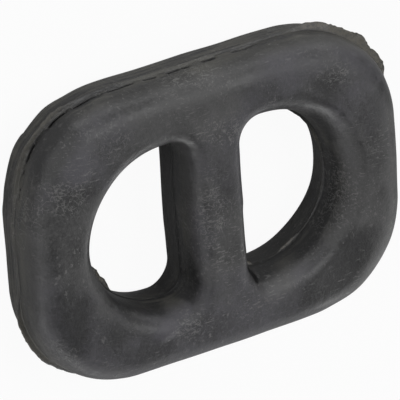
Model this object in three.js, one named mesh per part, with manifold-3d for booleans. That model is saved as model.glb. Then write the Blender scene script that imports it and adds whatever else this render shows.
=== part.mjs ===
// Exhaust hanger rubber: one moulded ring of rubber with a straight bar across its middle.
// The ring and the bar leave two D-shaped eyes side by side, one for each hanger rod.
// It lies flat on its back face: X runs across both eyes, Y along the bar, Z through the thickness.
// The origin is under the middle of the bar, on the surface that the back face rests on.
// All sizes are in millimetres.

import * as THREE from "three";
import { mergeVertices } from "three/addons/utils/BufferGeometryUtils.js";
import Module from "manifold-3d";

// Outside of the body, measured at its middle plane, without the flash.
const bodyWidth = 65;
const bodyHeight = 47;
const bodyThickness = 13;
const cornerRadius = 16.8;

// Rounding of the outer edges: how far the side draws in before it meets a face, and how square it is.
const edgeRounding = 5.7;
const edgeSquareness = 3.2;

// The bar between the eyes, and the eyes at the middle plane: each is a circle cut off by the bar.
const barWidth = 9.8;
const eyeDepth = 16.7;
const eyeRadius = 13.4;
const eyeCornerRadius = 3.1;

// Rounding of the eyes' mouths: how far the ring and the bar draw back at a face, and how square they are.
const ringMouthRounding = 4.2;
const barMouthRounding = 3.3;
const mouthSquareness = 2.8;

// Flash left by the mould's two halves around the outer edge: low along the sides, tall at the corners.
const flashHeightSide = 0.35;
const flashHeightCorner = 1.1;
const flashRootThickness = 1.1;
const flashEdgeThickness = 0.5;

// Low ridge left by the same joint of the mould, inside each eye.
const ridgeHeight = 0.3;
const ridgeRootThickness = 0.9;
const ridgeEdgeThickness = 0.3;

// How finely the round forms are divided.
const outerArcSteps = 16;
const sideSteps = 6;
const eyeArcSteps = 36;
const eyeCornerSteps = 9;
const edgeSteps = 8;

// How far an eye's cutter runs past each face.
const cutterOverrun = 2;

const halfTurn = Math.PI;
const quarterTurn = Math.PI / 2;
const middleHeight = bodyThickness / 2;

// A point of an outline: where it is, and the unit normal that points out of the outline there.
function outlinePoint(x, y, normalAngle) {
  return { x, y, nx: Math.cos(normalAngle), ny: Math.sin(normalAngle) };
}

// Points along an arc, each with its radial normal.
function arcPoints(centreX, centreY, radius, fromAngle, toAngle, steps) {
  const points = [];
  for (let i = 0; i <= steps; i += 1) {
    const angle = THREE.MathUtils.lerp(fromAngle, toAngle, i / steps);
    const x = centreX + radius * Math.cos(angle);
    const y = centreY + radius * Math.sin(angle);
    points.push(outlinePoint(x, y, angle));
  }
  return points;
}

// Points between two outline points that share a normal, without the two ends.
function straightPoints(from, to, normalAngle, steps) {
  const points = [];
  for (let i = 1; i < steps; i += 1) {
    const x = THREE.MathUtils.lerp(from.x, to.x, i / steps);
    const y = THREE.MathUtils.lerp(from.y, to.y, i / steps);
    points.push(outlinePoint(x, y, normalAngle));
  }
  return points;
}

// Body outline at the middle plane: a rectangle with four round corners, anticlockwise.
function bodyOutline() {
  const centreX = bodyWidth / 2 - cornerRadius;
  const centreY = bodyHeight / 2 - cornerRadius;
  const points = [];
  const corners = [[1, 1], [-1, 1], [-1, -1], [1, -1]].map(([signX, signY], index) => {
    const start = index * quarterTurn;
    return arcPoints(signX * centreX, signY * centreY, cornerRadius, start, start + quarterTurn, outerArcSteps);
  });
  corners.forEach((corner, index) => {
    const next = corners[(index + 1) % corners.length];
    points.push(...corner);
    points.push(...straightPoints(corner.at(-1), next[0], (index + 1) * quarterTurn, sideSteps));
  });
  return points;
}

// Right-hand eye with its ring side and its bar side drawn back by some amounts, anticlockwise.
// It is a circle cut off flat along the bar, with a small arc in each of the two corners.
function eyeOutline(ringShift, barShift) {
  const centreX = barWidth / 2 + eyeDepth - eyeRadius;
  const radius = eyeRadius + ringShift;
  const corner = eyeCornerRadius + ringShift;
  const cornerX = barWidth / 2 - barShift + corner;
  const cornerY = Math.sqrt((radius - corner) ** 2 - (cornerX - centreX) ** 2);
  const meet = Math.atan2(cornerY, cornerX - centreX);
  return [
    ...arcPoints(centreX, 0, radius, -meet, meet, eyeArcSteps),
    ...arcPoints(cornerX, cornerY, corner, meet, halfTurn, eyeCornerSteps).slice(1),
    ...arcPoints(cornerX, -cornerY, corner, -halfTurn, -meet, eyeCornerSteps).slice(0, -1),
  ];
}

// Heights over the middle plane at which a rounded edge is divided, from the face downwards.
function sectionHeights(squareness, lowest) {
  const heights = [];
  for (let i = 0; i < edgeSteps; i += 1) {
    heights.push(middleHeight * Math.cos((i / edgeSteps) * quarterTurn) ** (2 / squareness));
  }
  return [...heights.filter((height) => height > lowest), lowest];
}

// How far a rounded edge has drawn back at a height over the middle plane.
function edgeShift(rounding, squareness, height) {
  return rounding * (1 - (1 - (height / middleHeight) ** squareness) ** (1 / squareness));
}

// Height of the flash at an outline point: its corner height where the normal points diagonally.
function flashHeight(point) {
  const diagonal = (2 * point.nx * point.ny) ** 2;
  return THREE.MathUtils.lerp(flashHeightSide, flashHeightCorner, diagonal);
}

// One loop of a loft: an outline moved out along its normals, at a height over the middle plane.
function loop(outline, height, moveAt) {
  return outline.map((point) => {
    const move = moveAt(point);
    return new THREE.Vector3(point.x + point.nx * move, point.y + point.ny * move, middleHeight + height);
  });
}

// A stack of loops that goes up, from the loops over the middle plane, which go down.
function mirroredLoops(upperLoops) {
  const lower = upperLoops.map((points) => points.map((point) => {
    return new THREE.Vector3(point.x, point.y, bodyThickness - point.z);
  }));
  return [...lower, ...upperLoops.toReversed()];
}

// Closed solid through a stack of loops with equal numbers of points, closed flat at both ends.
function loftGeometry(loops) {
  const count = loops[0].length;
  const positions = loops.flat().flatMap((point) => point.toArray());
  const index = [];
  for (let level = 0; level < loops.length - 1; level += 1) {
    for (let i = 0; i < count; i += 1) {
      const a = level * count + i;
      const b = level * count + ((i + 1) % count);
      index.push(a, b, b + count, a, b + count, a + count);
    }
  }
  const flat = loops[0].map((point) => new THREE.Vector2(point.x, point.y));
  const top = (loops.length - 1) * count;
  THREE.ShapeUtils.triangulateShape(flat, []).forEach(([a, b, c]) => {
    index.push(a, c, b);
    index.push(top + a, top + b, top + c);
  });
  const geometry = new THREE.BufferGeometry();
  geometry.setAttribute("position", new THREE.Float32BufferAttribute(positions, 3));
  geometry.setIndex(index);
  return geometry;
}

// Body without its eyes: rounded edges on both faces, and the flash around the middle plane.
function bodyGeometry() {
  const outline = bodyOutline();
  const upper = sectionHeights(edgeSquareness, flashRootThickness / 2).map((height) => {
    return loop(outline, height, () => -edgeShift(edgeRounding, edgeSquareness, height));
  });
  upper.push(loop(outline, flashEdgeThickness / 2, flashHeight));
  return loftGeometry(mirroredLoops(upper));
}

// Cutter for the right-hand eye: wide at both faces, narrowest at the ridge in the middle plane.
function eyeCutterGeometry() {
  const still = () => 0;
  const upper = sectionHeights(mouthSquareness, ridgeRootThickness / 2).map((height) => {
    const ringShift = edgeShift(ringMouthRounding, mouthSquareness, height);
    const barShift = edgeShift(barMouthRounding, mouthSquareness, height);
    return loop(eyeOutline(ringShift, barShift), height, still);
  });
  const mouth = eyeOutline(ringMouthRounding, barMouthRounding);
  const ridge = eyeOutline(-ridgeHeight, -ridgeHeight);
  upper.unshift(loop(mouth, middleHeight + cutterOverrun, still));
  upper.push(loop(ridge, ridgeEdgeThickness / 2, still));
  return loftGeometry(mirroredLoops(upper));
}

// The same solid seen in a mirror across the bar, with its faces turned to point out again.
function mirroredAcrossBar(geometry) {
  const mirrored = geometry.clone().applyMatrix4(new THREE.Matrix4().makeScale(-1, 1, 1));
  const index = mirrored.getIndex().array;
  for (let i = 0; i < index.length; i += 3) {
    [index[i], index[i + 1]] = [index[i + 1], index[i]];
  }
  return mirrored;
}

// Solid made from a closed geometry, with its shared corners merged.
function solidFrom(wasm, geometry) {
  const merged = mergeVertices(geometry);
  return new wasm.Manifold(new wasm.Mesh({
    numProp: 3,
    vertProperties: new Float32Array(merged.getAttribute("position").array),
    triVerts: new Uint32Array(merged.getIndex().array),
  }));
}

// Geometry made back from a solid.
function geometryFrom(solid) {
  const mesh = solid.getMesh();
  const geometry = new THREE.BufferGeometry();
  geometry.setAttribute("position", new THREE.Float32BufferAttribute(mesh.vertProperties, 3));
  geometry.setIndex([...mesh.triVerts]);
  geometry.computeVertexNormals();
  return geometry;
}

// The whole rubber: the body with both eyes cut through it.
async function hangerRubberGeometry() {
  const wasm = await Module();
  wasm.setup();
  const eyeCutter = eyeCutterGeometry();
  const body = solidFrom(wasm, bodyGeometry());
  const rightEye = solidFrom(wasm, eyeCutter);
  const leftEye = solidFrom(wasm, mirroredAcrossBar(eyeCutter));
  return geometryFrom(body.subtract(rightEye).subtract(leftEye));
}

const blackRubber = new THREE.MeshStandardMaterial({ color: 0x464647, roughness: 0.72, metalness: 0 });

const hangerRubber = new THREE.Mesh(await hangerRubberGeometry(), blackRubber);
hangerRubber.name = "hanger_rubber";

const group = new THREE.Group();
group.add(hangerRubber);

export default group;
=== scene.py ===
"""An exhaust hanger rubber on a pale floor, with its flash, cracks, bloom and scuffs, in soft studio light.

The rubber is one moulding: a ring with a bar across it, and a D-shaped eye on each side of the bar.
It lies on its back face at z = 0. X runs across both eyes, Y along the bar, Z out of the front face.
Every size is in metres, apart from the ovals on the front face, which are laid out in millimetres.
"""
import logging
import math
from dataclasses import dataclass
from enum import Enum

import bmesh
import bpy
from mathutils import Matrix, Vector, noise


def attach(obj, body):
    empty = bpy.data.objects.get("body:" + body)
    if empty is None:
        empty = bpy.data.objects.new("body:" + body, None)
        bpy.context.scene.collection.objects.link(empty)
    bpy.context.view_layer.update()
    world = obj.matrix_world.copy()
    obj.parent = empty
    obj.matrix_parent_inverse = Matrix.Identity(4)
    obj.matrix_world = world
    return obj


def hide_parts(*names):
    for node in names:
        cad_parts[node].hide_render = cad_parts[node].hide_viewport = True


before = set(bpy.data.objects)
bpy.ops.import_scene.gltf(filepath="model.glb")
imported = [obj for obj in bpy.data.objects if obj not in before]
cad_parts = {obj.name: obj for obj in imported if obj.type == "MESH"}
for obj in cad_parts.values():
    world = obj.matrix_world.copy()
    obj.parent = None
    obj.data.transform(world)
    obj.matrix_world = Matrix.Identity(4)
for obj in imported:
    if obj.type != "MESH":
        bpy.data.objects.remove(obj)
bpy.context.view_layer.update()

LOG = logging.getLogger("hanger_rubber")
NODE = "hanger_rubber"
BODY = "root"
MM = 0.001
QUARTER_TURN = math.pi / 2
UP = Vector((0, 0, 1))

# Numbers that the mesh carries at each point, for the colours of the rubber, with painted light and shade
# among them.
TORN = "torn"
# The bloom numbers carry real bloom, and also painted highlights on the front face and painted shade deep in
# the eyes and beside the fin.
BLOOM_AND_PAINTED_LIGHT = "bloom"
SCUFFED = "scuffed"
# Painted shade: near black in the cracks beside the fin and in two small pockets in the right-hand eye.
PAINTED_SHADE = "painted_shade"
LAYERS = (TORN, BLOOM_AND_PAINTED_LIGHT, SCUFFED, PAINTED_SHADE)

# Ragged noise is a coarse run and a fine run added together.
COARSE_SHARE = 0.65
FINE_SHARE = 0.35
FINE_RATIO = 2.7

# Where the run of noise that bends the rubber along X starts for its bends along Y and Z.
BEND_ALONG_Y = Vector((7, 1, 4))
BEND_ALONG_Z = Vector((2, 9, 5))

# Most of a shader noise's values lie between these.
NOISE_RANGE = (0.3, 0.7)
NOISE_MIDDLE = 0.5

Mesh = bmesh.types.BMesh
Socket = bpy.types.NodeSocket
Pair = tuple[float, float]
Triple = tuple[float, float, float]
Colour = tuple[float, float, float, float]


class Eye(Enum):
    """The two eyes, each with the side of the bar that it lies on."""

    RIGHT = 1
    LEFT = -1


class Corner(Enum):
    """The four corners of the ring, as signs of X and Y, anticlockwise from the front."""

    TOP_RIGHT = (1, 1)
    TOP_LEFT = (-1, 1)
    BOTTOM_LEFT = (-1, -1)
    BOTTOM_RIGHT = (1, -1)


class Seed(Enum):
    """Where in the noise each kind of raggedness starts, so that no two kinds follow each other."""

    LONG_TEARS = 3.1
    SHORT_TEARS = 8.4
    CURL = 5.7
    CRACKS = 1.9
    CRACKS_BEHIND = 6.1
    CRACK_DRIFT = 7.7
    RIB_DRIFT = 6.3
    CORNER_RIBS = 2.2
    RIDGE_TEARS = 4.4


def smooth_step(low: float, high: float, value: float) -> float:
    """Rises smoothly from 0 at low to 1 at high.

    Args:
        low: the value at which the result leaves 0.
        high: the value at which the result reaches 1.
        value: where to read the curve.

    Returns:
        A share from 0 to 1.
    """
    share = min(max((value - low) / (high - low), 0.0), 1.0)
    return share * share * (3 - 2 * share)


def hump(centre: float, reach: float, value: float) -> float:
    """A smooth bump of height 1 at centre that has died away at reach on both sides."""
    return 1 - smooth_step(0.0, reach, abs(value - centre))


def angle_between(first: float, second: float) -> float:
    """The smaller angle between two bearings in degrees, from 0 to 180."""
    return abs((first - second + 180) % 360 - 180)


def flattened(place: Vector) -> Vector:
    """A place moved to height 0."""
    return Vector((place.x, place.y, 0))


def ragged(place: Vector, grain: float, seed: Seed) -> float:
    """Uneven tearing at a place, from about -1 to 1.

    Args:
        place: a point in the part's frame.
        grain: the length over which the tearing changes.
        seed: which run of the noise to take.

    Returns:
        Noise of two sizes added together.
    """
    start = seed.value
    shifted = place / grain + Vector((start, 2.3 * start, -1.7 * start))
    return COARSE_SHARE * noise.noise(shifted) + FINE_SHARE * noise.noise(shifted * FINE_RATIO)


@dataclass(frozen=True)
class RoundedEdge:
    """The section of a rounded edge: how far it draws back on its way to a face, and how square it is."""

    half_thickness: float
    rounding: float
    squareness: float

    def shift(self, height: float) -> float:
        """How far the surface has drawn back at a height over the middle plane."""
        share = min(abs(height) / self.half_thickness, 1.0)
        return self.rounding * (1 - (1 - share ** self.squareness) ** (1 / self.squareness))

    def heights(self, steps: int) -> list[float]:
        """Heights from the middle plane up to the face, about evenly spaced along the curve."""
        sines = [math.sin(i / steps * QUARTER_TURN) for i in range(steps + 1)]
        return [self.half_thickness * sine ** (2 / self.squareness) for sine in sines]


@dataclass(frozen=True)
class Flare:
    """A stretch of wall or of the mould joint where more rubber stands, at full height over its middle."""

    bearing: float
    reach: float
    height: float
    full_share: float = 0.35

    def at(self, bearing: float) -> float:
        """Height that the stretch adds at a bearing."""
        away = angle_between(self.bearing, bearing)
        return self.height * (1 - smooth_step(self.full_share * self.reach, self.reach, away))


@dataclass(frozen=True)
class Sector:
    """A range of bearings that fades out between an inner and an outer angle on both sides of its middle."""

    middle: float
    inner: float
    outer: float

    def share(self, bearing: float) -> float:
        """How far a bearing lies in the sector, from 0 to 1."""
        return 1 - smooth_step(self.inner, self.outer, angle_between(self.middle, bearing))


@dataclass
class Flash:
    """The torn fin around the outer edge, where the mould's two halves met."""

    side_height: float = 0.3 * MM
    least_height: float = 0.06 * MM
    root: float = 0.55 * MM
    edge: float = 0.1 * MM
    rows: int = 4
    long_tear: float = 0.16
    long_tear_grain: float = 3.2 * MM
    short_tear: float = 0.24
    short_tear_grain: float = 0.7 * MM
    curl: float = 0.35
    curl_grain: float = 3.5 * MM
    torn_root: float = 0.3
    torn_heights: Pair = (0.5 * MM, 1.2 * MM)
    flares: tuple[Flare, ...] = (
        Flare(17, 20, 0.6 * MM), Flare(31, 22, 0.9 * MM), Flare(60, 30, 0.95 * MM), Flare(203, 26, 0.65 * MM),
        Flare(230, 17, 0.35 * MM), Flare(134, 40, 0.5 * MM), Flare(318, 30, 0.3 * MM),
    )

    def height(self, place: Vector, bearing: float) -> float:
        """Height of the fin at a place on the outline, with its tears.

        Args:
            place: a point in the part's frame.
            bearing: which way the outline faces there, in degrees from X.

        Returns:
            How far the fin stands out of the wall.
        """
        flat = flattened(place)
        tall = self.side_height + sum(flare.at(bearing) for flare in self.flares)
        torn = 1 + self.long_tear * ragged(flat, self.long_tear_grain, Seed.LONG_TEARS)
        torn += self.short_tear * ragged(flat, self.short_tear_grain, Seed.SHORT_TEARS)
        return max(tall * torn, self.least_height)

    def sag(self, place: Vector, tall: float) -> float:
        """How far the fin curls up or down at a place, more where it is tall."""
        return self.curl * tall * ragged(flattened(place), self.curl_grain, Seed.CURL)

    def torn(self, tall: float, out: float) -> float:
        """How torn the fin looks, from 0 at its root and where it is low to 1 out on its tall stretches."""
        return smooth_step(0.0, self.torn_root, out) * smooth_step(*self.torn_heights, tall)


@dataclass(frozen=True)
class Oval:
    """An oval place on the front face, in millimetres and degrees, with the strength of what lies there."""

    x: float
    y: float
    length: float
    width: float
    turn: float = 0.0
    strength: float = 1.0
    full_share: float = 0.15

    def amount(self, place: Vector) -> float:
        """How much of the oval a place gets, from 0 outside it to 1 in its middle."""
        away = Vector((place.x - self.x * MM, place.y - self.y * MM, 0))
        away.rotate(Matrix.Rotation(-math.radians(self.turn), 3, "Z"))
        out = math.hypot(away.x / (self.length * MM), away.y / (self.width * MM))
        return 1 - smooth_step(self.full_share, 1.0, out)


@dataclass(frozen=True)
class Patch:
    """An oval where the face swells or sinks by some millimetres, and carries more or less bloom; in many
    ovals the extra bloom is a painted highlight and the missing bloom is painted shade.
    """

    oval: Oval
    swell: float
    bloom: float


def strongest(ovals: tuple[Oval, ...], place: Vector) -> float:
    """The most that any of some ovals gives a place."""
    return max(oval.strength * oval.amount(place) for oval in ovals)


@dataclass
class Unevenness:
    """How the moulding strays from its drawn form and from an even bloom.

    Stretches of its wall stand out, patches of its front face swell or sink and carry painted highlights and
    painted shade as more or less bloom, pale marks gather in scuffs, and shade is painted black into two
    small pockets in the right-hand eye's lower corner.
    """

    wall_swells: tuple[Flare, ...] = (
        Flare(16, 42, 0.23 * MM), Flare(318, 36, 0.31 * MM), Flare(90, 50, 0.1 * MM),
        Flare(131, 27, 0.55 * MM), Flare(168, 14, -0.14 * MM), Flare(186, 14, 0.1 * MM),
        Flare(270, 12, 0.05 * MM),
    )
    # Many patches paint light and shade: the strongest extra bloom, at the lower mouths of both eyes and at
    # the upper left corner, is a painted highlight, and most missing bloom, beside the fin at the upper left,
    # toward the corners and round the eyes' mouths, is painted shade. The mild ones lay the bloom unevenly.
    patches: tuple[Patch, ...] = (
        Patch(Oval(16.5, 15.4, 9.5, 3.6, 4), -0.12, -0.95), Patch(Oval(18.0, 19.8, 8.0, 2.4), 0.12, 0.5),
        Patch(Oval(18.9, 9.2, 6.0, 2.1, -62), 0.0, -1.0), Patch(Oval(20.9, -14.4, 8.6, 5.6, 45), -0.3, -1.7),
        Patch(Oval(16.5, -17.0, 7.0, 4.0, 20), 0.0, -0.8),
        Patch(Oval(-26.8, 18.2, 8.5, 2.8, 46), -0.35, -1.3),
        Patch(Oval(-24.2, 15.6, 4.6, 3.2, 40), 0.3, 1.0), Patch(Oval(-25.4, 10.4, 4.4, 3.2), -0.15, -0.9),
        Patch(Oval(-27.0, -7.4, 10.0, 5.0, 100), -0.1, -0.6), Patch(Oval(-21.0, -15.0, 4.6, 3.2), 0.0, -0.5),
        Patch(Oval(-11.2, -15.9, 3.0, 2.0, 20), 0.4, 2.0), Patch(Oval(-8.7, -12.9, 2.4, 1.8, 45), 0.25, 1.8),
        Patch(Oval(10.8, -14.4, 6.0, 2.2, 32), 0.2, 1.4), Patch(Oval(-12.0, 20.0, 14.0, 2.4), 0.05, 0.3),
        Patch(Oval(24.0, 2.0, 9.0, 4.5, 90), -0.1, -0.35), Patch(Oval(-19.5, 0.0, 6.0, 3.0, 90), 0.0, -0.3),
        Patch(Oval(-14.4, -10.2, 4.2, 1.7, -36), -0.1, -1.5),
        Patch(Oval(-6.3, 13.5, 4.2, 1.5, -40), 0.0, -0.7), Patch(Oval(7.0, -11.2, 2.6, 1.8, 60), -0.5, -2.8),
        Patch(Oval(-15.8, -14.2, 3.2, 2.3, -30), 0.0, -1.2),
        Patch(Oval(-6.4, -8.6, 5.0, 1.5, 90), -0.3, -1.6), Patch(Oval(-7.5, -14.0, 2.2, 1.4, 15), 0.0, 2.6),
    )
    scuffs: tuple[Oval, ...] = (
        Oval(15.8, 11.4, 6.0, 2.8, -40), Oval(0.5, 14.5, 7.0, 3.4, 0, 0.8),
        Oval(-2.2, 1.0, 3.0, 13.0, 0, 0.8), Oval(21.5, -2.5, 3.6, 7.0, 0, 0.9),
        Oval(-26.0, 11.5, 5.0, 4.2), Oval(-7.0, -16.5, 6.0, 3.4, 0, 0.9),
        Oval(21.0, 17.5, 5.0, 3.2, -20, 0.8), Oval(4.0, -17.0, 5.0, 3.0, 0, 0.5),
        Oval(-2.5, 23.3, 8.0, 1.6, 0, 0.9), Oval(18.4, 6.5, 5.0, 2.2, -60, 0.8),
    )
    # Painted shade: two small pockets in the right-hand eye's lower corner are painted black.
    painted_shade_spots: tuple[Oval, ...] = (Oval(7.3, -10.6, 1.6, 0.8), Oval(5.9, -12.6, 1.6, 0.9, 75))

    def swell(self, bearing: float) -> float:
        """How far the wall stands out of its drawn outline at a bearing."""
        return sum(flare.at(bearing) for flare in self.wall_swells)

    def face(self, place: Vector) -> Pair:
        """How far the front face swells at a place, and how much more bloom it carries; some patches paint
        highlights with it and others paint shade.
        """
        swell = bloom = 0.0
        for patch in self.patches:
            amount = patch.oval.amount(place)
            swell += patch.swell * MM * amount
            bloom += patch.bloom * amount
        return swell, bloom


@dataclass
class TrimMarks:
    """What the trimming knife and the mould left on the wall beside the joint: cracks, ribs and a step.

    Pairs of heights, bearings or noise values say where a mark starts and where it is full.
    """

    crack_depth: float = 0.85 * MM
    crack_height: float = 0.8 * MM
    crack_reach: float = 0.52 * MM
    crack_sector: Sector = Sector(112, 34, 62)
    crack_end: Pair = (14 * MM, 2 * MM)
    crack_gaps: Pair = (-0.12, -0.02)
    crack_grain: float = 1.9 * MM
    crack_drift: float = 0.3 * MM
    crack_drift_grain: float = 2.6 * MM
    behind_share: float = 0.7
    behind_sector: Sector = Sector(140, 18, 36)
    rib_depth: float = 0.1 * MM
    rib_pitch: float = 0.95 * MM
    rib_drift: float = 0.5 * MM
    rib_drift_grain: float = 8 * MM
    rib_foot: Pair = (-4.6 * MM, -3.6 * MM)
    rib_head: Pair = (-0.1 * MM, -0.6 * MM)
    rib_sector: Sector = Sector(120, 60, 110)
    rib_share: float = 0.5
    corner_sector: Sector = Sector(143, 16, 44)
    corner_rib_share: float = 0.6
    corner_rib_spread: float = 1.2
    corner_rib_grain: float = 4 * MM
    step: float = 0.2 * MM
    step_heights: Pair = (-0.3 * MM, -0.8 * MM)
    step_bearings: Pair = (135, 137)

    def crack(self, place: Vector, height: float, bearing: float) -> float:
        """How open the cracks beside the fin are at a place, from 0 to 1. They break off again and again."""
        flat = flattened(place)
        upper = self.crack_sector.share(bearing) * smooth_step(*self.crack_end, place.x)
        seed = Seed.CRACKS if height > 0 else Seed.CRACKS_BEHIND
        broken = smooth_step(*self.crack_gaps, ragged(flat, self.crack_grain, seed))
        drift = self.crack_drift * ragged(flat, self.crack_drift_grain, Seed.CRACK_DRIFT)
        side = 1.0 if height > 0 else self.behind_share * self.behind_sector.share(bearing)
        return side * upper * broken * hump(self.crack_height + drift, self.crack_reach, abs(height))

    def ribs(self, place: Vector, height: float, bearing: float) -> float:
        """Height of the ribs that run along the wall behind the joint, deeper and less even at the corner."""
        flat = flattened(place)
        drift = height + self.rib_drift * ragged(flat, self.rib_drift_grain, Seed.RIB_DRIFT)
        rib = self.rib_depth * math.sin(2 * math.pi * drift / self.rib_pitch)
        rib *= smooth_step(*self.rib_foot, height) * smooth_step(*self.rib_head, height)
        rough = abs(ragged(flat, self.corner_rib_grain, Seed.CORNER_RIBS))
        corner = self.corner_rib_share + self.corner_rib_spread * rough
        shares = self.rib_sector.share(bearing), self.corner_sector.share(bearing)
        return rib * (self.rib_share * shares[0] + corner * shares[1])

    def relief(self, place: Vector, height: float, bearing: float) -> float:
        """How far the wall stands out or in at a place.

        Args:
            place: a point of the outer wall.
            height: its height over the middle plane.
            bearing: which way the wall faces there, in degrees from X.

        Returns:
            The relief, positive outwards.
        """
        behind = smooth_step(*self.step_heights, height) * self.corner_sector.share(bearing)
        step = self.step * behind * smooth_step(*self.step_bearings, bearing)
        crack = self.crack_depth * self.crack(place, height, bearing)
        return self.ribs(place, height, bearing) + step - crack


@dataclass
class EyeRidge:
    """The low ridge that the mould joint left inside an eye, with the bits that tore, and the shade painted
    deep in the eye.

    The heights below which an eye's wall is painted bare black as shade rise at the low end of the eye, and
    drop along the bar and on the right-hand eye's upper right. Pairs of rises and drops are for the first and
    the last of these heights.
    """

    height: float = 0.1 * MM
    least_height: float = 0.05 * MM
    root: float = 0.4 * MM
    edge: float = 0.12 * MM
    shoulder: float = 0.6
    tear: float = 0.45
    tear_grain: float = 1.6 * MM
    torn_heights: Pair = (0.2 * MM, 0.6 * MM)
    left_flares: tuple[Flare, ...] = (
        Flare(211, 20, 1.0 * MM), Flare(84, 7, 0.45 * MM), Flare(128, 8, 0.3 * MM), Flare(168, 6, 0.25 * MM),
    )
    right_flares: tuple[Flare, ...] = (
        Flare(34, 30, 0.34 * MM), Flare(-6, 40, 0.2 * MM), Flare(262, 8, 0.6 * MM), Flare(298, 12, 0.35 * MM),
    )
    left_rooms: tuple[Flare, ...] = (Flare(150, 62, 0.3 * MM), Flare(275, 40, 0.15 * MM))
    right_rooms: tuple[Flare, ...] = (Flare(-42, 50, 0.2 * MM), Flare(215, 50, 0.16 * MM))
    room_heights: Pair = (5.6 * MM, 6.4 * MM)
    right_softness: Flare = Flare(10, 85, 1.0)
    back_softness: float = 0.5
    # Where the bloom on the right-hand eye's wall reaches deeper before the painted shade begins.
    right_deeper_bloom: Flare = Flare(45, 40, 1.0)
    left_low: Sector = Sector(250, 30, 62)
    right_low: Sector = Sector(268, 30, 62)
    left_bar: Sector = Sector(0, 48, 76)
    right_bar: Sector = Sector(180, 48, 76)
    # Painted shade: deep in an eye the wall is bare black rubber, from between the first and the last of
    # these heights.
    shade_first: float = 5.4 * MM
    shade_last: float = 2.0 * MM
    left_drop: float = 0.8 * MM
    right_drop: float = 1.6 * MM
    low_rises: Pair = (0.8 * MM, 1.6 * MM)
    bar_drops: Pair = (2.2 * MM, 1.2 * MM)
    deeper_bloom_drops: Pair = (2.4 * MM, 2.6 * MM)

    def tall(self, place: Vector, eye: Eye, bearing: float) -> float:
        """Height of the ridge at a place.

        Args:
            place: a point of the eye's wall.
            eye: which eye.
            bearing: the bearing of the place from the middle of the eye, in degrees from X.

        Returns:
            How far the ridge stands into the eye.
        """
        flares = self.left_flares if eye is Eye.LEFT else self.right_flares
        grown = self.height + sum(flare.at(bearing) for flare in flares)
        torn = 1 + self.tear * ragged(place, self.tear_grain, Seed.RIDGE_TEARS)
        return max(grown * torn, self.least_height)

    def room(self, eye: Eye, bearing: float, height: float) -> float:
        """How much wider than drawn an eye came out. Its rims on the faces stay as drawn."""
        rooms = self.left_rooms if eye is Eye.LEFT else self.right_rooms
        return sum(flare.at(bearing) for flare in rooms) * (1 - smooth_step(*self.room_heights, abs(height)))

    def painted_shade_heights(self, eye: Eye, bearing: float) -> Pair:
        """Heights over the middle plane between which the bloom on an eye's wall ends and bare black rubber
        paints the shade deep in the eye.
        """
        left = eye is Eye.LEFT
        low = (self.left_low if left else self.right_low).share(bearing)
        bar = (self.left_bar if left else self.right_bar).share(bearing)
        drop = self.left_drop if left else self.right_drop
        # The painted shade starts lower on the right-hand eye's upper right, where the bloom reaches deeper.
        worn = 0.0 if left else self.right_deeper_bloom.at(bearing)
        first = self.shade_first - drop * (1 - low)
        first = first - self.bar_drops[0] * bar + self.low_rises[0] * low - self.deeper_bloom_drops[0] * worn
        last = self.shade_last + self.low_rises[1] * low - self.bar_drops[1] * bar - self.deeper_bloom_drops[1] * worn
        return first, last

    def squareness(self, drawn: float, eye: Eye, bearing: float, height: float) -> float:
        """Squareness of an eye's mouth at a place, lower where it is worn rounder than drawn."""
        worn = self.right_softness.at(bearing) if eye is Eye.RIGHT else 0.0
        return drawn - worn * (1.0 if height > 0 else self.back_softness)


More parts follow.
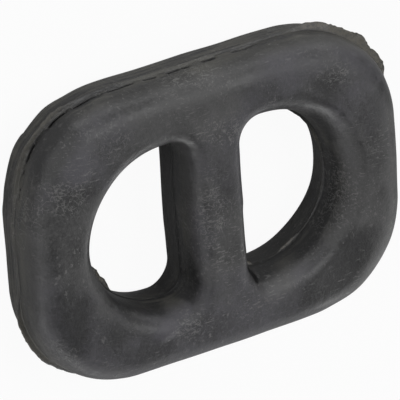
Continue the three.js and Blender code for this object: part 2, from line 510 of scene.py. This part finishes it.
@dataclass
class MouldedRubber:
    """The whole moulding: its outer wall with the flash, its eyes' walls with their ridge, and both faces."""

    body_width: float = 65 * MM
    body_height: float = 47 * MM
    thickness: float = 13 * MM
    corner_radius: float = 16.8 * MM
    edge_rounding: float = 5.7 * MM
    edge_squareness: float = 3.2
    bar_width: float = 9.8 * MM
    eye_depth: float = 16.7 * MM
    eye_radius: float = 13.4 * MM
    eye_corner_radius: float = 3.1 * MM
    ring_mouth_rounding: float = 4.2 * MM
    bar_mouth_rounding: float = 3.3 * MM
    mouth_squareness: float = 2.8
    land: float = 0.08 * MM
    land_share: float = 2.0
    corner_fall: float = 0.55 * MM
    corner_fall_reach: Pair = (20.5 * MM, 27 * MM)
    softness: float = 0.14 * MM
    bend_grain: float = 8 * MM
    bend_lift: float = 1.6
    resting_height: float = 1.5 * MM
    front_heights: Pair = (-1.5 * MM, 3 * MM)
    swollen_offsets: Pair = (-9 * MM, -1.5 * MM)
    marked_offset: float = -1.2 * MM
    fin_offset: float = -0.05 * MM
    fin_reach: float = 0.501
    # How far the bloom is taken off deep in the eyes, as painted shade.
    eye_painted_shade: float = 1.3
    row_clearance: float = 1.1
    merge_distance: float = 0.002 * MM
    level_tolerance: float = 0.01 * MM
    face_grain: float = 0.9 * MM
    face_rounds: int = 5
    corner_steps: int = 66
    top_steps: int = 80
    side_steps: int = 34
    wall_steps: int = 36
    crack_rows: int = 11
    crack_row: float = 0.095 * MM
    eye_wall_steps: int = 26
    eye_steps: int = 230

    def __post_init__(self) -> None:
        """Adds the flash, the trim marks, the ridges and the unevenness."""
        self.flash = Flash()
        self.trim_marks = TrimMarks()
        self.ridge = EyeRidge()
        self.unevenness = Unevenness()

    @property
    def middle(self) -> float:
        """Height of the middle plane over the floor."""
        return self.thickness / 2

    @property
    def eye_centre(self) -> float:
        """How far the middle of an eye's circle lies from the bar's middle."""
        return self.bar_width / 2 + self.eye_depth - self.eye_radius

    def outer_section(self) -> list[Pair]:
        """Section of the outer wall from the front face's land round to the back face's land.

        Returns:
            Pairs of how far the surface lies inside the outline, and its height over the middle plane.
            The rows of the fin have no depth yet, and lie ever nearer to the middle plane.
        """
        edge = RoundedEdge(self.middle, self.edge_rounding, self.edge_squareness)
        flash = self.flash
        beside = [flash.root / 2 + self.crack_row * (i + 1) for i in range(self.crack_rows)]
        lowest = beside[-1] * self.row_clearance
        beside += [height for height in edge.heights(self.wall_steps) if height > lowest]
        upper = [(edge.shift(height), height) for height in beside]
        upper.append((edge.rounding + self.land, self.middle))
        upper.reverse()
        for row in range(flash.rows + 1):
            share = row / flash.rows
            upper.append((0.0, flash.root / 2 * (1 - share) + flash.edge / 2 * share))
        return upper + [(inset, -height) for inset, height in reversed(upper)]

    def build_outer_wall(self, mesh: Mesh) -> None:
        """Sweeps the outer section round the ring: it spins at each corner and runs straight in between."""
        reach_x = self.body_width / 2 - self.corner_radius
        reach_y = self.body_height / 2 - self.corner_radius
        chain = [mesh.verts.new((self.body_width / 2 - inset, reach_y, self.middle + height))
                 for inset, height in self.outer_section()]
        edges = [mesh.edges.new(pair) for pair in zip(chain, chain[1:])]
        geom: list = chain + edges
        runs = [Vector((-2 * reach_x, 0, 0)), Vector((0, -2 * reach_y, 0)),
                Vector((2 * reach_x, 0, 0)), Vector((0, 2 * reach_y, 0))]
        for corner, run in zip(Corner, runs):
            sign_x, sign_y = corner.value
            centre = Vector((sign_x * reach_x, sign_y * reach_y, 0))
            steps = self.top_steps if abs(run.x) > abs(run.y) else self.side_steps
            corner_turn, straight_run = (Vector(), QUARTER_TURN, self.corner_steps), (run / steps, 0.0, steps)
            for move, angle, count in (corner_turn, straight_run):
                geom = bmesh.ops.spin(mesh, geom=geom, cent=centre, axis=UP, dvec=move, angle=angle,
                                      steps=count, use_merge=False, use_duplicate=False)["geom_last"]

    def eye_point(self, along: float, ring_shift: float, bar_shift: float) -> Vector:
        """A point of the right-hand eye's outline.

        Args:
            along: how far round the outline, from 0 to 1, anticlockwise from the middle of the bar's side.
            ring_shift: how far the ring side is drawn back from the middle plane's outline.
            bar_shift: how far the bar side is drawn back.

        Returns:
            The point, at height 0.
        """
        centre_x = self.eye_centre
        radius = self.eye_radius + ring_shift
        corner = self.eye_corner_radius + ring_shift
        corner_x = self.bar_width / 2 - bar_shift + corner
        corner_y = math.sqrt((radius - corner) ** 2 - (corner_x - centre_x) ** 2)
        meet = math.atan2(corner_y, corner_x - centre_x)
        flat, turn, sweep = corner_y, corner * (math.pi - meet), radius * meet
        upper = along if along <= 0.5 else 1 - along
        travelled = upper * 2 * (flat + turn + sweep)
        if travelled < flat:
            place = Vector((corner_x - corner, travelled, 0))
        elif travelled < flat + turn:
            angle = math.pi - (travelled - flat) / corner
            place = Vector((corner_x + corner * math.cos(angle), corner_y + corner * math.sin(angle), 0))
        else:
            angle = meet - (travelled - flat - turn) / radius
            place = Vector((centre_x + radius * math.cos(angle), radius * math.sin(angle), 0))
        return place if along > 0.5 else Vector((place.x, -place.y, 0))

    def eye_section(self) -> list[Pair]:
        """Section of an eye's wall from the front face's land to the back face's land.

        Returns:
            Pairs of how far the wall is drawn back, as a share of its mouth's rounding, and its height over
            the middle plane. A share over 1 lies on the face's land, and one under 0 on the ridge.
        """
        curve = RoundedEdge(self.middle, 1.0, self.mouth_squareness)
        root, edge, shoulder = self.ridge.root / 2, self.ridge.edge / 2, self.ridge.shoulder
        lowest = root * self.row_clearance
        heights = curve.heights(self.eye_wall_steps)
        upper = [(curve.shift(height), height) for height in heights if height > lowest]
        upper.append((self.land_share, self.middle))
        upper.reverse()
        upper += [(curve.shift(root), root), (-shoulder, shoulder * root), (-1.0, edge)]
        return upper + [(share, -height) for share, height in reversed(upper)]

    def eye_shift(self, share: float, rounding: float, tall: float) -> float:
        """How far a wall with this rounding is drawn back at a share of its section."""
        if share < 0:
            return share * tall
        if share > 1:
            return rounding + self.land
        return share * rounding

    def build_eye_wall(self, mesh: Mesh, eye: Eye) -> None:
        """Bends a fine grid into one eye's wall and closes it.

        Args:
            mesh: the mesh that gets the wall.
            eye: which eye.
        """
        torn, bloom = mesh.verts.layers.float[TORN], mesh.verts.layers.float[BLOOM_AND_PAINTED_LIGHT]
        section = self.eye_section()
        rows = len(section) - 1
        half = 0.5
        grid = bmesh.ops.create_grid(mesh, x_segments=self.eye_steps, y_segments=rows, size=half)["verts"]
        for vert in grid:
            along = vert.co.x + half
            share, height = section[round((vert.co.y + half) * rows)]
            place = self.eye_point(along, 0.0, 0.0)
            bearing = math.degrees(math.atan2(place.y, (place.x - self.eye_centre) * eye.value))
            tall = self.ridge.tall(Vector((place.x * eye.value, place.y, 0)), eye, bearing)
            room = self.ridge.room(eye, bearing, height)
            if 0 < share < 1:
                squareness = self.ridge.squareness(self.mouth_squareness, eye, bearing, height)
                share = RoundedEdge(self.middle, 1.0, squareness).shift(height)
            ring_shift = self.eye_shift(share, self.ring_mouth_rounding, tall) + room
            bar_shift = self.eye_shift(share, self.bar_mouth_rounding, tall) + room
            outline = self.eye_point(along, ring_shift, bar_shift)
            vert.co = Vector((outline.x * eye.value, outline.y, self.middle + height))
            vert[torn] = smooth_step(*self.ridge.torn_heights, tall) if share < 0 else 0.0
            # Painted shade: deep in the eye the wall loses its bloom and shows bare black.
            vert[bloom] = -self.eye_painted_shade * smooth_step(*self.ridge.painted_shade_heights(eye, bearing), height)

    def lies_at(self, edge: bmesh.types.BMEdge, height: float) -> bool:
        """Whether an edge lies level at a height over the floor."""
        return all(abs(vert.co.z - height) < self.level_tolerance for vert in edge.verts)

    def fill_faces(self, mesh: Mesh) -> None:
        """Closes both faces between the outer wall and the eyes' walls, with fine triangles.

        Until the faces are closed and fine, smooth marks the walls and flat marks the faces.
        """
        for face in mesh.faces:
            face.smooth = True
        for height in (0.0, self.thickness):
            rim = [edge for edge in mesh.edges if edge.is_boundary and self.lies_at(edge, height)]
            fill = bmesh.ops.triangle_fill(mesh, use_beauty=True, use_dissolve=False, edges=rim, normal=UP)
            for item in fill["geom"]:
                if isinstance(item, bmesh.types.BMFace):
                    item.smooth = False
        for _ in range(self.face_rounds):
            flat = [face for face in mesh.faces if not face.smooth]
            long = [edge for edge in {edge for face in flat for edge in face.edges}
                    if edge.calc_length() > self.face_grain]
            bmesh.ops.subdivide_edges(mesh, edges=long, cuts=1)
            flat = [face for face in mesh.faces if not face.smooth]
            flat = bmesh.ops.triangulate(mesh, faces=flat)["faces"]
            inner = [edge for edge in {edge for face in flat for edge in face.edges}
                     if all(not face.smooth for face in edge.link_faces)]
            bmesh.ops.beautify_fill(mesh, faces=flat, edges=inner)

    def build(self) -> Mesh:
        """Makes the closed moulding.

        Returns:
            The mesh, with its doubles merged and its faces pointing out.
        """
        mesh = bmesh.new()
        for layer in LAYERS:
            mesh.verts.layers.float.new(layer)
        self.build_outer_wall(mesh)
        for eye in Eye:
            self.build_eye_wall(mesh, eye)
        bmesh.ops.remove_doubles(mesh, verts=mesh.verts, dist=self.merge_distance)
        self.fill_faces(mesh)
        bmesh.ops.recalc_face_normals(mesh, faces=mesh.faces)
        return mesh

    def outline_offset(self, place: Vector) -> tuple[float, Vector]:
        """How far a point lies outside the body's outline, and which way that is.

        Args:
            place: a point in the part's frame.

        Returns:
            The distance, negative inside, and the outward direction in the middle plane.
        """
        reach_x = self.body_width / 2 - self.corner_radius
        reach_y = self.body_height / 2 - self.corner_radius
        over_x = max(abs(place.x) - reach_x, 0.0)
        over_y = max(abs(place.y) - reach_y, 0.0)
        if over_x == 0 and over_y == 0:
            return -self.corner_radius, Vector((0, 0, 0))
        away = Vector((math.copysign(over_x, place.x), math.copysign(over_y, place.y), 0))
        return away.length - self.corner_radius, away.normalized()

    def dress_wall(self, mesh: Mesh) -> None:
        """Draws the fin's rows out to the torn flash and cuts the trim marks into the wall beside it."""
        torn, painted_shade = mesh.verts.layers.float[TORN], mesh.verts.layers.float[PAINTED_SHADE]
        flash = self.flash
        for vert in mesh.verts:
            height = vert.co.z - self.middle
            offset, away = self.outline_offset(vert.co)
            if offset < self.marked_offset:
                continue
            bearing = math.degrees(math.atan2(away.y, away.x)) % 360
            if abs(height) > self.fin_reach * flash.root or offset < self.fin_offset:
                # Painted shade: how open a crack is also paints it near black.
                vert[painted_shade] = self.trim_marks.crack(vert.co, height, bearing)
                vert.co += away * self.trim_marks.relief(vert.co, height, bearing)
                continue
            out = (flash.root / 2 - abs(height)) / (flash.root / 2 - flash.edge / 2)
            tall = flash.height(vert.co, bearing)
            vert.co += away * tall * out + UP * flash.sag(vert.co, tall) * out
            vert[torn] = flash.torn(tall, out)

    def fall(self, place: Vector) -> float:
        """How far a place sinks toward the middle plane, more toward the corners."""
        from_eye = Vector((max(abs(place.x) - self.eye_centre, 0.0), place.y, 0)).length
        fall = self.corner_fall * smooth_step(*self.corner_fall_reach, from_eye)
        return fall * (place.z - self.middle) / self.middle

    def bend(self, place: Vector) -> Vector:
        """Which way soft rubber leans at a place, most of all up or down."""
        spot = place / self.bend_grain
        lift = self.bend_lift * noise.noise(spot + BEND_ALONG_Z)
        return Vector((noise.noise(spot), noise.noise(spot + BEND_ALONG_Y), lift))

    def settle(self, mesh: Mesh) -> None:
        """Lets the faces fall away toward the corners and gives the rubber its slight unevenness.

        The surface that the part rests on stays as it is.
        """
        bloom, scuffed = mesh.verts.layers.float[BLOOM_AND_PAINTED_LIGHT], mesh.verts.layers.float[SCUFFED]
        painted_shade = mesh.verts.layers.float[PAINTED_SHADE]
        front_low, front_high = self.front_heights
        for vert in mesh.verts:
            offset, away = self.outline_offset(vert.co)
            vert.co.z -= self.fall(vert.co)
            free = smooth_step(0.0, self.resting_height, vert.co.z)
            front = smooth_step(self.middle + front_low, self.middle + front_high, vert.co.z)
            swell, more = self.unevenness.face(vert.co)
            vert[scuffed] = front * strongest(self.unevenness.scuffs, vert.co)
            # Painted shade: the two pockets in the right-hand eye are painted black.
            vert[painted_shade] = max(vert[painted_shade], front * strongest(self.unevenness.painted_shade_spots, vert.co))
            # The patches' bloom paints highlights and shade on the front face.
            vert[bloom] = min(max(0.5 + 0.5 * (vert[bloom] + more * front), 0.0), 1.0)
            bearing = math.degrees(math.atan2(away.y, away.x))
            out = self.unevenness.swell(bearing) * smooth_step(*self.swollen_offsets, offset)
            vert.co += away * out + UP * swell * front
            vert.co += self.bend(vert.co) * self.softness * free

    def finish_mesh(self, mesh: Mesh, material: bpy.types.Material) -> bpy.types.Object:
        """Turns the mesh into the visual piece that stands for the solid.

        Args:
            mesh: the closed moulding.
            material: the rubber.

        Returns:
            The piece, riding on the part's one body.
        """
        data = bpy.data.meshes.new("hanger_rubber_moulding")
        mesh.to_mesh(data)
        mesh.free()
        data.shade_smooth()
        data.materials.append(material)
        piece = bpy.data.objects.new("hanger_rubber_moulding", data)
        bpy.context.scene.collection.objects.link(piece)
        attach(piece, BODY)
        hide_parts(NODE)
        return piece

    def make(self, material: bpy.types.Material) -> bpy.types.Object:
        """Builds the moulding, dresses its wall and lets it settle, and gives it its rubber."""
        mesh = self.build()
        self.dress_wall(mesh)
        self.settle(mesh)
        LOG.info("moulding: %d faces, %d open edges", len(mesh.faces), sum(e.is_boundary for e in mesh.edges))
        return self.finish_mesh(mesh, material)


@dataclass(frozen=True)
class Grain:
    """A noise in the rubber: features per millimetre along each axis, turned by some degrees about each."""

    scale: Triple
    turn: Triple = (0, 0, 0)
    detail: float = 3
    roughness: float = 0.55


@dataclass(frozen=True)
class MarkKind:
    """One kind of pale mark.

    A mark begins at one value of its shape's noise and is full at another. The places that carry such marks
    have a scale and a turn of their own.
    """

    shape: Grain
    begins: float
    full: float
    places_scale: float
    places_turn: float
    strength: float


class NodeSheet:
    """A material's node tree with short calls for the nodes that the finish uses."""

    def __init__(self, name: str) -> None:
        """Starts a material with its own shader and coordinates in millimetres."""
        self.material = bpy.data.materials.new(name)
        self.material.use_nodes = True
        self.nodes, self.links = self.material.node_tree.nodes, self.material.node_tree.links
        self.shader = self.nodes["Principled BSDF"]
        self.coordinates = self.nodes.new("ShaderNodeTexCoord").outputs["Object"]

    def _feed(self, socket: Socket, value: object) -> None:
        """Links a socket to another, or sets its value."""
        if isinstance(value, Socket):
            self.links.new(value, socket)
        else:
            socket.default_value = value

    def place(self, scale: Triple, turn: Triple) -> Socket:
        """Coordinates in features per millimetre along each axis, after a turn in degrees."""
        node = self.nodes.new("ShaderNodeMapping")
        self.links.new(self.coordinates, node.inputs["Vector"])
        node.inputs["Rotation"].default_value = [math.radians(angle) for angle in turn]
        node.inputs["Scale"].default_value = [value / MM for value in scale]
        return node.outputs["Vector"]

    def noise(self, grain: Grain) -> Socket:
        """Soft noise from 0 to 1."""
        vector = self.place(grain.scale, grain.turn)
        node = self.nodes.new("ShaderNodeTexNoise")
        self.links.new(vector, node.inputs["Vector"])
        node.inputs["Scale"].default_value = 1
        node.inputs["Detail"].default_value = grain.detail
        node.inputs["Roughness"].default_value = grain.roughness
        return node.outputs["Fac"]

    def ramp(self, value: Socket, low: float, high: float, start: float = 0, end: float = 1) -> Socket:
        """Smoothly carries a value from start at low to end at high."""
        node = self.nodes.new("ShaderNodeMapRange")
        node.interpolation_type = "SMOOTHSTEP"
        self.links.new(value, node.inputs["Value"])
        for name, number in (("From Min", low), ("From Max", high), ("To Min", start), ("To Max", end)):
            node.inputs[name].default_value = number
        return node.outputs["Result"]

    def math(self, kind: str, first: object, second: object) -> Socket:
        """One sum on two values."""
        node = self.nodes.new("ShaderNodeMath")
        node.operation = kind
        self._feed(node.inputs[0], first)
        self._feed(node.inputs[1], second)
        return node.outputs["Value"]

    def mix(self, share: object, first: object, second: object) -> Socket:
        """One colour over another."""
        node = self.nodes.new("ShaderNodeMix")
        node.data_type = "RGBA"
        for index, value in ((0, share), (6, first), (7, second)):
            self._feed(node.inputs[index], value)
        return node.outputs[2]

    def height_over_floor(self) -> Socket:
        """Height of the point over the floor, in metres."""
        node = self.nodes.new("ShaderNodeSeparateXYZ")
        self.links.new(self.coordinates, node.inputs[0])
        return node.outputs["Z"]

    def attribute(self, name: str) -> Socket:
        """A number that the mesh carries at each point."""
        node = self.nodes.new("ShaderNodeAttribute")
        node.attribute_name = name
        return node.outputs["Fac"]

    def bump(self, height: Socket, depth: float) -> None:
        """Gives the surface a relief of some depth in metres."""
        node = self.nodes.new("ShaderNodeBump")
        node.inputs["Distance"].default_value = depth
        self.links.new(height, node.inputs["Height"])
        self.links.new(node.outputs["Normal"], self.shader.inputs["Normal"])


@dataclass(frozen=True)
class RubberFinish:
    """Matt black rubber with a dusty bloom, torn edges, pale flecks and scuffs, painted shade near black in
    the cracks, and painted highlights and shade in the bloom.

    Ranges of noise say where a look fades in, and heights over the floor say where it fades out.
    """

    name: str = "black_rubber"
    bare: Colour = (0.018, 0.018, 0.0185, 1)
    bloom: Colour = (0.059, 0.0585, 0.0585, 1)
    violet: Colour = (0.053, 0.0515, 0.059, 1)
    olive: Colour = (0.06, 0.0585, 0.052, 1)
    dust: Colour = (0.17, 0.168, 0.163, 1)
    torn: Colour = (0.078, 0.071, 0.057, 1)
    # Near black painted into the cracks and the two pockets as shade.
    crack: Colour = (0.002, 0.002, 0.002, 1)
    smooth_roughness: float = 0.42
    dusty_roughness: float = 0.6
    roughening: Pair = (0.2, 0.7)
    relief: float = 0.1 * MM
    grain: Grain = Grain((2.4, 2.4, 2.4), roughness=0.7)
    grain_relief: float = 0.4
    pores: Grain = Grain((0.9, 0.9, 0.9), (50, 10, 30), 4, 0.6)
    pore_relief: float = 0.9
    mark_relief: float = 0.25
    torn_range: Pair = (0.38, 0.6)
    torn_least: float = 0.1
    crack_shade_range: Pair = (0.08, 0.34)
    cloud: Grain = Grain((0.14, 0.14, 0.14), detail=5, roughness=0.62)
    cloudiness: float = 0.3
    pitting: float = 0.16
    bloom_range: Pair = (-0.15, 1.15)
    streaks: Grain = Grain((0.11, 0.11, 1.8), roughness=0.65)
    streak_range: Pair = (0.38, 0.62)
    streak_bloom: Pair = (-0.5, 0.42)
    streak_heights: Pair = (7.5 * MM, 10.5 * MM)
    violet_patches: Grain = Grain((0.055, 0.055, 0.055), (20, 35, 70), 3, 0.5)
    violet_range: Pair = (0.42, 0.6)
    olive_heights: Pair = (8.5 * MM, 12 * MM)
    mark_kinds: tuple[MarkKind, ...] = (
        MarkKind(Grain((1.4, 1.0, 1.2), (0, 0, 35), 2, 0.6), 0.6, 0.7, 0.11, 13, 0.42),
        MarkKind(Grain((2.8, 2.1, 2.5), (20, 0, -25), 2, 0.6), 0.58, 0.68, 0.14, 41, 0.36),
        MarkKind(Grain((0.8, 3.2, 1.7), (0, 0, 48), 2, 0.6), 0.6, 0.68, 0.09, 77, 0.46),
        MarkKind(Grain((0.7, 3.0, 1.7), (0, 0, -40), 2, 0.6), 0.61, 0.69, 0.1, 120, 0.44),
    )
    least_marks: float = 0.1
    most_chance: float = 0.8
    chance_range: Pair = (0.48, 0.68)
    curl_field: Grain = Grain((0.75, 0.75, 0.75), (15, 60, 5), 2, 0.5)
    curl_places: Grain = Grain((0.08, 0.08, 0.08), (70, 10, 40), 2, 0.5)
    curl_width: Pair = (0.004, 0.022)
    curl_strength: float = 0.42
    curl_range: Pair = (0.45, 0.95)

    def material(self) -> bpy.types.Material:
        """Builds the material's nodes."""
        sheet = NodeSheet(self.name)
        grain = sheet.noise(self.grain)
        bloom = self.bloom_share(sheet, grain)
        marks = self.marks(sheet)
        # The bloom share also carries painted highlights and painted shade, from the mesh's bloom numbers.
        colour = sheet.mix(bloom, self.bare, self.bloom_colour(sheet))
        colour = sheet.mix(marks, colour, self.dust)
        ripped = sheet.ramp(grain, *self.torn_range, self.torn_least, 1)
        colour = sheet.mix(sheet.math("MULTIPLY", sheet.attribute(TORN), ripped), colour, self.torn)
        # Painted shade: the cracks and the two pockets in the right-hand eye turn near black.
        colour = sheet.mix(sheet.ramp(sheet.attribute(PAINTED_SHADE), *self.crack_shade_range), colour, self.crack)
        sheet.links.new(colour, sheet.shader.inputs["Base Color"])
        rough = sheet.ramp(bloom, *self.roughening, self.smooth_roughness, self.dusty_roughness)
        sheet.links.new(rough, sheet.shader.inputs["Roughness"])
        sheet.bump(self.surface(sheet, grain, marks), self.relief)
        return sheet.material

    def surface(self, sheet: NodeSheet, grain: Socket, marks: Socket) -> Socket:
        """Relief of the rubber's skin: fine grain, pores and raised marks."""
        pores = sheet.math("MULTIPLY", sheet.noise(self.pores), self.pore_relief)
        height = sheet.math("ADD", sheet.math("MULTIPLY", grain, self.grain_relief), pores)
        return sheet.math("ADD", height, sheet.math("MULTIPLY", marks, self.mark_relief))

    def bloom_share(self, sheet: NodeSheet, grain: Socket) -> Socket:
        """How much bloom covers the rubber: thick in its patches, cloudy everywhere, gone in fine pits. The
        mesh's bloom numbers also paint highlights on the front face and shade deep in the eyes.
        """
        cloud = sheet.ramp(sheet.noise(self.cloud), *NOISE_RANGE, -self.cloudiness, self.cloudiness)
        laid = sheet.math("ADD", sheet.attribute(BLOOM_AND_PAINTED_LIGHT), cloud)
        laid = sheet.math("ADD", laid, self.wall_streaks(sheet))
        pits = sheet.ramp(grain, *NOISE_RANGE, -self.pitting, self.pitting)
        return sheet.ramp(sheet.math("ADD", laid, pits), *self.bloom_range)

    def wall_streaks(self, sheet: NodeSheet) -> Socket:
        """Streaks that run along the walls, side by side through the thickness."""
        streak = sheet.ramp(sheet.noise(self.streaks), *self.streak_range, *self.streak_bloom)
        on_walls = sheet.ramp(sheet.height_over_floor(), *self.streak_heights, 1, 0)
        return sheet.math("MULTIPLY", on_walls, streak)

    def bloom_colour(self, sheet: NodeSheet) -> Socket:
        """Colour of the bloom: grey or faintly violet on the face, olive on the walls."""
        patch = sheet.ramp(sheet.noise(self.violet_patches), *self.violet_range)
        face = sheet.mix(patch, self.bloom, self.violet)
        return sheet.mix(sheet.ramp(sheet.height_over_floor(), *self.olive_heights, 1, 0), face, self.olive)

    def marks(self, sheet: NodeSheet) -> Socket:
        """Pale flecks, scratches and curly scuffs, each kind in places of its own."""
        cover = self.curls(sheet)
        for kind in self.mark_kinds:
            cover = sheet.math("MAXIMUM", cover, self.kind(sheet, kind))
        return cover

    def kind(self, sheet: NodeSheet, kind: MarkKind) -> Socket:
        """One kind of mark.

        Args:
            sheet: the material's nodes.
            kind: what the marks look like and where they lie.

        Returns:
            The marks' cover, from 0 to the kind's strength.
        """
        shape = sheet.ramp(sheet.noise(kind.shape), kind.begins, kind.full, 0, kind.strength)
        size, turn = kind.places_scale, kind.places_turn
        where = Grain((size, size, size), (turn, 2 * turn, turn), kind.shape.detail, kind.shape.roughness)
        return sheet.math("MULTIPLY", shape, self.spread(sheet, where, self.least_marks))

    def spread(self, sheet: NodeSheet, where: Grain, least: float) -> Socket:
        """Share of the marks that a place carries: some by chance, and all in the scuffed places."""
        chance = sheet.ramp(sheet.noise(where), *self.chance_range, least, self.most_chance)
        return sheet.math("MINIMUM", sheet.math("ADD", chance, sheet.attribute(SCUFFED)), 1.0)

    def curls(self, sheet: NodeSheet) -> Socket:
        """Curly scuffs: thin lines where a noise crosses its middle value."""
        off_middle = sheet.math("SUBTRACT", sheet.noise(self.curl_field), NOISE_MIDDLE)
        line = sheet.ramp(sheet.math("ABSOLUTE", off_middle, 0), *self.curl_width, self.curl_strength, 0)
        spread = sheet.ramp(self.spread(sheet, self.curl_places, 0.0), *self.curl_range)
        return sheet.math("MULTIPLY", line, spread)


@dataclass(frozen=True)
class Softbox:
    """A flat lamp that points at the part.

    Its place is given as seen from the part: how far round from the X axis and how high, both in degrees, and
    how far off.
    """

    name: str
    bearing: float
    rise: float
    brightness: float
    width: float = 0.5
    height: float = 0.5
    distance: float = 1.0

    def direction(self) -> Vector:
        """Unit vector from the part to the lamp."""
        bearing, rise = math.radians(self.bearing), math.radians(self.rise)
        level = math.cos(rise)
        return Vector((math.cos(bearing) * level, math.sin(bearing) * level, math.sin(rise)))

    def make(self, target: Vector) -> bpy.types.Object:
        """Hangs the lamp at its place, turned to the target."""
        lamp = bpy.data.lights.new(self.name, "AREA")
        lamp.shape = "RECTANGLE"
        lamp.size, lamp.size_y = self.width, self.height
        lamp.energy = self.brightness * math.pi * self.width * self.height
        holder = bpy.data.objects.new(self.name, lamp)
        holder.location = target + self.direction() * self.distance
        holder.rotation_euler = self.direction().to_track_quat("Z", "Y").to_euler()
        bpy.context.scene.collection.objects.link(holder)
        return holder


def low_strip(name: str, bearing: float, brightness: float) -> Softbox:
    """A wide, low softbox that lights the part's walls and hardly reaches into its eyes."""
    return Softbox(name, bearing, rise=8, brightness=brightness, height=0.24)


@dataclass
class Studio:
    """Pale floor, soft light and the camera."""

    target: Vector
    floor_size: float = 3.0
    floor_colour: float = 0.5
    floor_whiteness: float = 0.945
    ambient: float = 0.05
    softboxes: tuple[Softbox, ...] = (
        Softbox("softbox_key", 45, 60, 4.6), Softbox("softbox_right", 0, 60, 2.6),
        Softbox("softbox_left_high", 135, 60, 1.6), Softbox("softbox_left", 180, 32, 1.9),
        Softbox("softbox_left_back", 135, 32, 2.0), Softbox("softbox_left_front", 225, 32, 1.1),
        low_strip("strip_back", 90, 7.4), low_strip("strip_back_right", 45, 6.2),
        low_strip("strip_front_left", 225, 5.0), low_strip("strip_front", 270, 6.4),
        low_strip("strip_front_right", 315, 6.6),
    )
    camera_distance: float = 0.975
    camera_swing: float = math.radians(-29.24)
    camera_rise: float = math.radians(26.96)
    camera_roll: float = math.radians(-3.86)
    camera_lens: float = 577.8
    camera_sensor: float = 36
    frame_shift_right: float = 0.403 * MM
    frame_shift_up: float = -0.180 * MM

    def make_floor(self) -> bpy.types.Object:
        """Lays the white floor, which still takes the part's shadow."""
        mesh = bmesh.new()
        bmesh.ops.create_grid(mesh, x_segments=1, y_segments=1, size=self.floor_size / 2)
        data = bpy.data.meshes.new("floor")
        mesh.to_mesh(data)
        mesh.free()
        floor = bpy.data.objects.new("floor", data)
        bpy.context.scene.collection.objects.link(floor)
        data.materials.append(self.floor_material())
        return floor

    def floor_material(self) -> bpy.types.Material:
        """White that shows as background to the camera, with a faint shadow kept."""
        material = bpy.data.materials.new("floor_white")
        material.use_nodes = True
        nodes, links = material.node_tree.nodes, material.node_tree.links
        nodes.clear()
        output = nodes.new("ShaderNodeOutputMaterial")
        matt = nodes.new("ShaderNodeBsdfDiffuse")
        matt.inputs["Color"].default_value = (self.floor_colour, self.floor_colour, self.floor_colour, 1)
        glow = nodes.new("ShaderNodeEmission")
        glow.inputs["Strength"].default_value = 1.0
        path = nodes.new("ShaderNodeLightPath")
        share = nodes.new("ShaderNodeMath")
        share.operation = "MULTIPLY"
        share.inputs[1].default_value = self.floor_whiteness
        links.new(path.outputs["Is Camera Ray"], share.inputs[0])
        mix = nodes.new("ShaderNodeMixShader")
        for index, node in enumerate((share, matt, glow)):
            links.new(node.outputs[0], mix.inputs[index])
        links.new(mix.outputs[0], output.inputs["Surface"])
        return material

    def make_world(self) -> None:
        """Plain pale surroundings that light the part from all round."""
        world = bpy.data.worlds.new("surroundings")
        bpy.context.scene.world = world
        world.use_nodes = True
        background = world.node_tree.nodes["Background"]
        background.inputs["Color"].default_value = (1, 1, 1, 1)
        background.inputs["Strength"].default_value = self.ambient

    def make_camera(self) -> bpy.types.Object:
        """Sets the camera at the photograph's viewing angle, looking down on the part."""
        rise, swing, roll = self.camera_rise, self.camera_swing, self.camera_roll
        back = Vector((math.sin(swing) * math.cos(rise), math.sin(rise), math.cos(swing) * math.cos(rise)))
        level = Vector((0, 1, 0)).cross(back).normalized()
        over = back.cross(level)
        right = level * math.cos(roll) + over * math.sin(roll)
        top = over * math.cos(roll) - level * math.sin(roll)
        aim = self.target - right * self.frame_shift_right - top * self.frame_shift_up
        data = bpy.data.cameras.new("camera")
        data.sensor_width = self.camera_sensor
        data.lens = self.camera_lens
        camera = bpy.data.objects.new("camera", data)
        turned = Matrix((right, top, back)).transposed().to_4x4()
        camera.matrix_world = Matrix.Translation(aim + back * self.camera_distance) @ turned
        bpy.context.scene.collection.objects.link(camera)
        bpy.context.scene.camera = camera
        return camera

    def make(self) -> None:
        """Builds the studio."""
        self.make_floor()
        self.make_world()
        for softbox in self.softboxes:
            softbox.make(self.target)
        self.make_camera()
        bpy.context.scene.view_settings.view_transform = "Standard"


def main() -> None:
    """Builds the moulding and the studio in order."""
    logging.basicConfig(level=logging.INFO, format="%(name)s: %(message)s")
    rubber = MouldedRubber()
    piece = rubber.make(RubberFinish().material())
    LOG.info("%s: %d polygons", piece.name, len(piece.data.polygons))
    Studio(target=Vector((0, 0, rubber.middle))).make()


if __name__ == "__main__":
    main()
